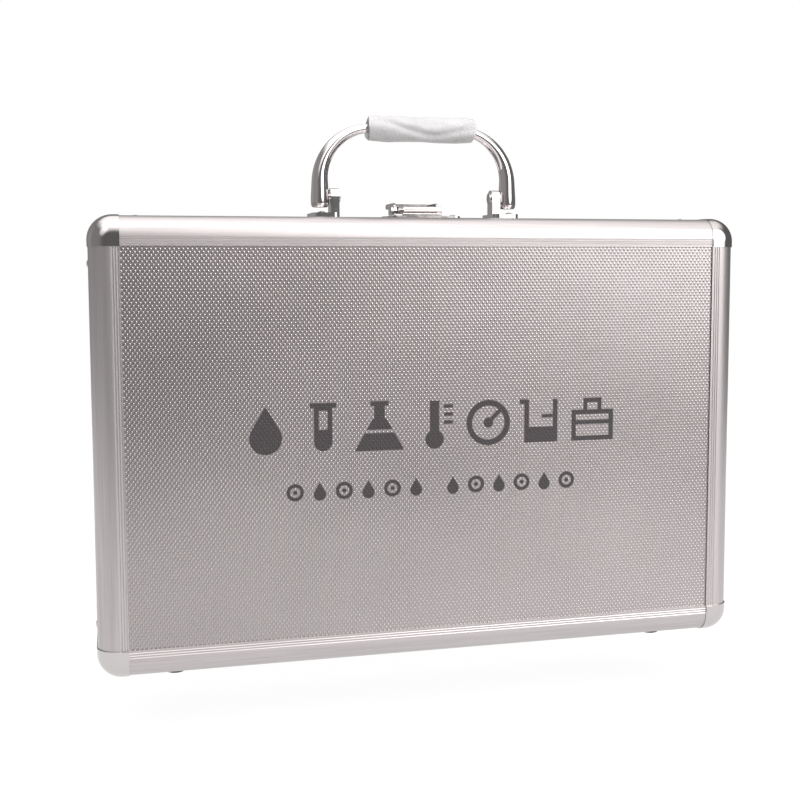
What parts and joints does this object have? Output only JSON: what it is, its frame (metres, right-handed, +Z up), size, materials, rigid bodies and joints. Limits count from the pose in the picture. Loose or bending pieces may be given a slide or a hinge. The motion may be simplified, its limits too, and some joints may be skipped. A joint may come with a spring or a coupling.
{
  "type": "water test kit",
  "caption": "Slim aluminium carry case with a hinged lid, draw latch and folding handle, holding a water meter, reagent bottles and a colour comparator in foam.",
  "frame": {"origin": "middle of the footprint, on the surface that the feet stand on", "axes": "+X to the right along the case, +Z up through the handle, -Y out of the lid's face"},
  "size_m": [0.3316, 0.0774, 0.2773],
  "materials": {
    "satin_aluminium": "satin anodised extrusion, brushed lengthwise",
    "dimpled_aluminium": "thin sheet embossed all over with small staggered dimples",
    "chrome": "bright nickel-chrome plating",
    "steel": "plain zinc-plated steel",
    "board": "thin hardboard",
    "lining_cloth": "black non-woven lining over board",
    "lid_foam": "charcoal open-cell foam, egg-crate face",
    "tray_foam": "black closed-cell foam, cut for each item",
    "foot_rubber": "black moulded rubber",
    "grip_plastic": "black moulded sleeve",
    "wrap_foam": "thin white packing foam, semi-matt",
    "meter_plastic": "white moulded plastic",
    "meter_cap_plastic": "blue moulded plastic",
    "display_window": "clear window over a grey-green display",
    "bottle_plastic": "translucent squeeze bottle",
    "bottle_cap_red": "ribbed cap",
    "bottle_cap_yellow": "ribbed cap",
    "bottle_cap_blue": "ribbed cap",
    "clear_acrylic": "clear moulded acrylic",
    "colour_print": "printed colour patches"
  },
  "bodies": {
    "base": {"base_rail_top": "satin_aluminium", "base_rail_bottom": "satin_aluminium", "base_rail_left": "satin_aluminium", "base_rail_right": "satin_aluminium", "base_corner_top_left": "chrome", "base_corner_top_right": "chrome", "base_corner_bottom_left": "chrome", "base_corner_bottom_right": "chrome", "base_panel": "dimpled_aluminium", "base_board": "board", "base_lining": "lining_cloth", "base_rivets": "steel", "base_feet": "foot_rubber", "foam_tray": "tray_foam", "hinge_leaves_base": "steel", "hinge_pins": "steel", "handle_foot_left": "chrome", "handle_foot_right": "chrome", "handle_pin_left": "steel", "handle_pin_right": "steel", "latch_plate": "chrome", "latch_lever_pin": "steel", "meter_body": "meter_plastic", "meter_display": "display_window", "comparator_block": "clear_acrylic", "comparator_scale": "colour_print", "colour_card": "colour_print", "reagent_bottle_1": "bottle_plastic", "reagent_bottle_2": "bottle_plastic", "reagent_bottle_3": "bottle_plastic"},
    "lid": {"lid_rail_top": "satin_aluminium", "lid_rail_bottom": "satin_aluminium", "lid_rail_left": "satin_aluminium", "lid_rail_right": "satin_aluminium", "lid_corner_top_left": "chrome", "lid_corner_top_right": "chrome", "lid_corner_bottom_left": "chrome", "lid_corner_bottom_right": "chrome", "lid_panel": "dimpled_aluminium", "lid_board": "board", "lid_lining": "lining_cloth", "lid_rivets": "steel", "lid_feet": "foot_rubber", "lid_foam": "lid_foam", "hinge_leaves_lid": "steel", "latch_keeper": "chrome"},
    "handle": {"handle_bail": "chrome", "handle_grip": "grip_plastic", "grip_wrap": "wrap_foam"},
    "latch_lever": {"latch_lever": "chrome", "latch_claw_pin": "steel"},
    "latch_claw": {"latch_claw": "chrome"},
    "meter_button": {"meter_button": "meter_cap_plastic"},
    "meter_cap": {"meter_cap": "meter_cap_plastic"},
    "reagent_cap_1": {"reagent_cap_1": "bottle_cap_red"},
    "reagent_cap_2": {"reagent_cap_2": "bottle_cap_yellow"},
    "reagent_cap_3": {"reagent_cap_3": "bottle_cap_blue"},
    "comparator_cap_left": {"comparator_cap_left": "meter_cap_plastic"},
    "comparator_cap_right": {"comparator_cap_right": "bottle_cap_red"}
  },
  "joints": [
    {"name": "lid_hinge", "type": "hinge", "parent": "base", "child": "lid", "pos_m": [0, -0.008, 0.0021], "axis": [1, 0, 0], "range_deg": [0, 90]},
    {"name": "handle_pivot", "type": "hinge", "parent": "base", "child": "handle", "pos_m": [0, 0, 0.2355], "axis": [1, 0, 0], "range_deg": [-90, 90]},
    {"name": "latch_lever_pivot", "type": "hinge", "parent": "base", "child": "latch_lever", "pos_m": [0, -0.001, 0.2284], "axis": [1, 0, 0], "range_deg": [0, 90]},
    {"name": "latch_claw_pivot", "type": "hinge", "parent": "latch_lever", "child": "latch_claw", "pos_m": [0, 0.006, 0.2294], "axis": [1, 0, 0], "range_deg": [-94.5, 0]},
    {"name": "meter_button_press", "type": "slide", "parent": "base", "child": "meter_button", "axis": [0, 1, 0], "range_m": [0, 0.0008], "stiffness_N_per_m": 400, "springref_m": -0.0004},
    {"name": "meter_cap_slide", "type": "slide", "parent": "base", "child": "meter_cap", "axis": [-1, 0, 0], "range_m": [0, 0.022]},
    {"name": "reagent_cap_1_turn", "type": "hinge", "parent": "base", "child": "reagent_cap_1", "pos_m": [-0.122, 0.0105, 0.092], "axis": [0, 0, 1], "continuous": true},
    {"name": "reagent_cap_2_turn", "type": "hinge", "parent": "base", "child": "reagent_cap_2", "pos_m": [-0.08, 0.0105, 0.092], "axis": [0, 0, 1], "continuous": true},
    {"name": "reagent_cap_3_turn", "type": "hinge", "parent": "base", "child": "reagent_cap_3", "pos_m": [-0.038, 0.0105, 0.092], "axis": [0, 0, 1], "continuous": true},
    {"name": "comparator_cap_left_slide", "type": "slide", "parent": "base", "child": "comparator_cap_left", "axis": [0, 0, 1], "range_m": [0, 0.01]},
    {"name": "comparator_cap_right_slide", "type": "slide", "parent": "base", "child": "comparator_cap_right", "axis": [0, 0, 1], "range_m": [0, 0.01]}
  ],
  "couplings": [
    {"joint": "latch_claw_pivot", "follows": "latch_lever_pivot", "ratio": -1.05}
  ]
}
